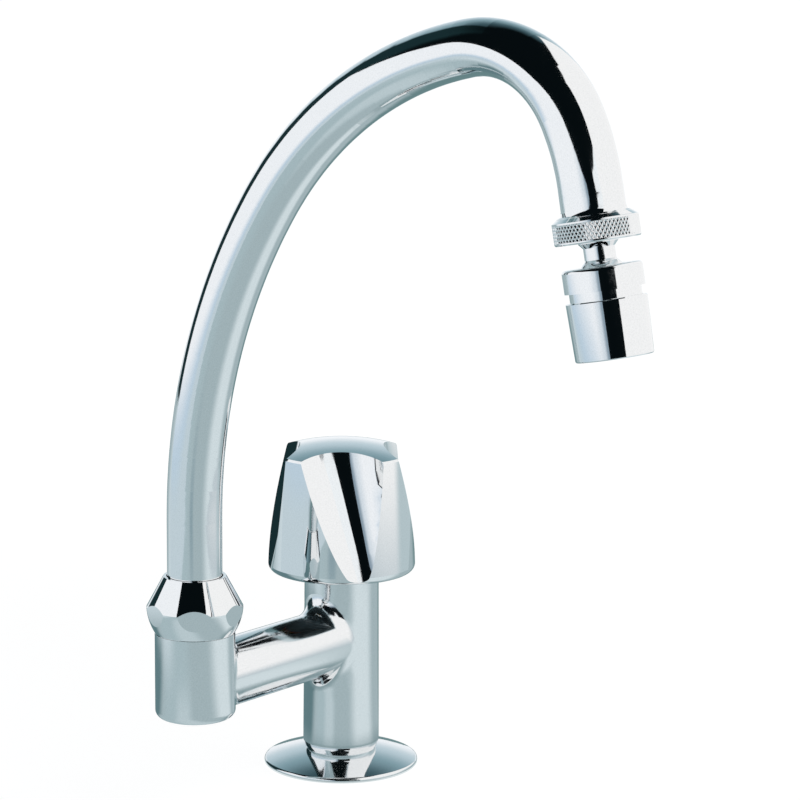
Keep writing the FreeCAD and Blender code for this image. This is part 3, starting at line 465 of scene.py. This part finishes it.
def right_box(tones):
    """White, but grey along the worktop and low down at its far end."""
    height = tones.dot(UP)
    tones.paint((0.52, 0.60, 0.64))
    tones.paint((1.0, 0.99, 0.985), tones.rises(height, 0.035, 0.05))
    far_end = tones.rises(tones.azimuth, 99, 9)
    tones.paint((0.50, 0.60, 0.63), far_end, tones.falls(height, 0.085, 0.025))


def far_box(tones):
    """White all over."""
    tones.paint((0.96, 0.985, 1.0))


def worktop_tone(tones):
    """The pale worktop as the chrome mirrors it, with lighter and darker parts and the tap's
    painted shadow round its foot.
    """
    away = tones.distance()
    near = tones.falls(away, 0.27, 0.06)
    far = tones.rises(away, 0.27, 0.06)
    tones.paint((0.40, 0.495, 0.52))
    tones.paint((0.42, 0.53, 0.56), tones.between(tones.azimuth, -75, -22, 12))
    beside_foot = tones.falls(away, 0.24, 0.03)
    tones.paint((0.54, 0.64, 0.67), tones.between(tones.azimuth, -45, -20, 8), beside_foot)
    before_tap = tones.between(away, 0.42, 0.8, 0.1)
    tones.paint((0.28, 0.38, 0.42), tones.between(tones.azimuth, -19, -8, 4), before_tap)
    tones.paint((0.70, 0.785, 0.81), tones.between(tones.azimuth, 34, 96, 16))
    tones.paint((0.64, 0.735, 0.775), tones.between(tones.azimuth, -122, -58, 14), far)
    tones.paint((0.13, 0.22, 0.24), tones.between(tones.azimuth, -176, -86, 10), near)
    tones.paint((0.15, 0.25, 0.26), tones.rises(tones.side, 150, 12), tones.falls(away, 0.7, 0.2))
    # Painted shadow of the tap on the worktop: darker close round its foot
    tones.paint((0.22, 0.31, 0.33), tones.falls(away, 0.045, 0.02))
    tones.paint((0.85, 0.90, 0.91), tones.falls(away, 0.031, 0.002))


def worktop_mirror():
    """What the chrome sees of the worktop, out to its edge; the eye sees the plain floor."""
    verts = []
    for k in range(WORKTOP_SIDES):
        angle = 2 * math.pi * k / WORKTOP_SIDES
        verts.append((WORKTOP_R * math.cos(angle), WORKTOP_R * math.sin(angle), WORKTOP_Z))
    shown = stage_mesh("worktop_mirror", verts, glowing("worktop_mirror", worktop_tone))
    shown.visible_camera = False
    shown.visible_shadow = False


def stage_floor():
    """Plain white worktop that keeps a faint shadow; the tap's tail goes through it."""
    made = bpy.data.materials.new("floor")
    made.use_nodes = True
    nodes = made.node_tree.nodes
    links = made.node_tree.links
    nodes.clear()
    place = nodes.new("ShaderNodeTexCoord")
    away = nodes.new("ShaderNodeVectorMath")
    away.operation = "LENGTH"
    links.new(place.outputs["Object"], away.inputs[0])
    level = nodes.new("ShaderNodeMapRange")
    level.interpolation_type = "SMOOTHSTEP"
    level.inputs["From Min"].default_value = FLOOR_GLOW_FROM
    level.inputs["From Max"].default_value = FLOOR_GLOW_TO
    level.inputs["To Min"].default_value = FLOOR_GLOW_NEAR
    level.inputs["To Max"].default_value = FLOOR_GLOW_FAR
    links.new(away.outputs["Value"], level.inputs["Value"])
    glow = nodes.new("ShaderNodeEmission")
    glow.inputs["Color"].default_value = (1, 1, 1, 1)
    links.new(level.outputs["Result"], glow.inputs["Strength"])
    matt = nodes.new("ShaderNodeBsdfDiffuse")
    matt.inputs["Color"].default_value = (FLOOR_MATT, FLOOR_MATT, FLOOR_MATT, 1)
    mixed = nodes.new("ShaderNodeMixShader")
    mixed.inputs["Fac"].default_value = FLOOR_MATT_SHARE
    out = nodes.new("ShaderNodeOutputMaterial")
    links.new(glow.outputs["Emission"], mixed.inputs[1])
    links.new(matt.outputs["BSDF"], mixed.inputs[2])
    links.new(mixed.outputs["Shader"], out.inputs["Surface"])
    corners = ((-1, -1), (1, -1), (1, 1), (-1, 1))
    verts = [(x * FLOOR_HALF, y * FLOOR_HALF, FLOOR_Z) for x, y in corners]
    floor = stage_mesh("floor", verts, made)
    floor.visible_glossy = False


def studio():
    """White for the camera; the dark studio and its backdrop for what the chrome mirrors."""
    world = bpy.data.worlds.new("studio")
    SCENE.world = world
    world.use_nodes = True
    nodes = world.node_tree.nodes
    links = world.node_tree.links
    nodes.clear()
    place = nodes.new("ShaderNodeTexCoord")
    tones = Tones(nodes, links, place.outputs["Generated"])
    elevation = tones.degrees(tones.math("ARCSINE", tones.dot(UP)))
    behind = tones.rises(tones.side, 148, 5)
    tones.paint((0.002, 0.004, 0.005))
    far_left = tones.between(tones.azimuth, -150, -104, 8)
    tones.paint((0.010, 0.028, 0.032), far_left, tones.between(elevation, -20, 50, 14))
    tones.paint((0.05, 0.10, 0.12), behind, tones.falls(elevation, 56, 8))
    tones.paint((0.24, 0.37, 0.42), behind, tones.falls(elevation, 42, 10))
    tones.paint((0.54, 0.66, 0.72), behind, tones.falls(elevation, 27, 9))
    tones.paint((0.94, 0.97, 1.0), behind, tones.falls(elevation, 12, 9))
    for_eye = nodes.new("ShaderNodeMix")
    for_eye.data_type = "RGBA"
    rays = nodes.new("ShaderNodeLightPath")
    links.new(rays.outputs["Is Camera Ray"], for_eye.inputs["Factor"])
    links.new(tones.tone, for_eye.inputs["A"])
    for_eye.inputs["B"].default_value = (1, 1, 1, 1)
    back = nodes.new("ShaderNodeBackground")
    links.new(for_eye.outputs["Result"], back.inputs["Color"])
    out = nodes.new("ShaderNodeOutputWorld")
    links.new(back.outputs["Background"], out.inputs["Surface"])


def photo_camera():
    """Camera at the photograph's place, heading, pitch and roll."""
    data = bpy.data.cameras.new("photo_camera")
    data.sensor_fit = "HORIZONTAL"
    data.sensor_width = SENSOR_MM
    data.lens = LENS_MM
    data.clip_start = 0.05
    data.clip_end = 30
    camera = bpy.data.objects.new("photo_camera", data)
    SCENE.collection.objects.link(camera)
    sight = AWAY * math.cos(PITCH) - UP * math.sin(PITCH)
    up = RIGHT.cross(sight)
    right = RIGHT * math.cos(ROLL) + up * math.sin(ROLL)
    top = up * math.cos(ROLL) - RIGHT * math.sin(ROLL)
    turn = Matrix((right, top, -sight)).transposed().to_4x4()
    camera.matrix_world = Matrix.Translation(CAMERA_AT) @ turn
    SCENE.camera = camera


photo_camera()
studio()
stage_floor()
worktop_mirror()
light_card("softbox_left", LEFT_BOX, left_box)
light_card("softbox_right", RIGHT_BOX, right_box)
light_card("softbox_far", FAR_BOX, far_box)
dress_nodes()
knurled_ring()

SCENE.view_settings.view_transform = "Standard"
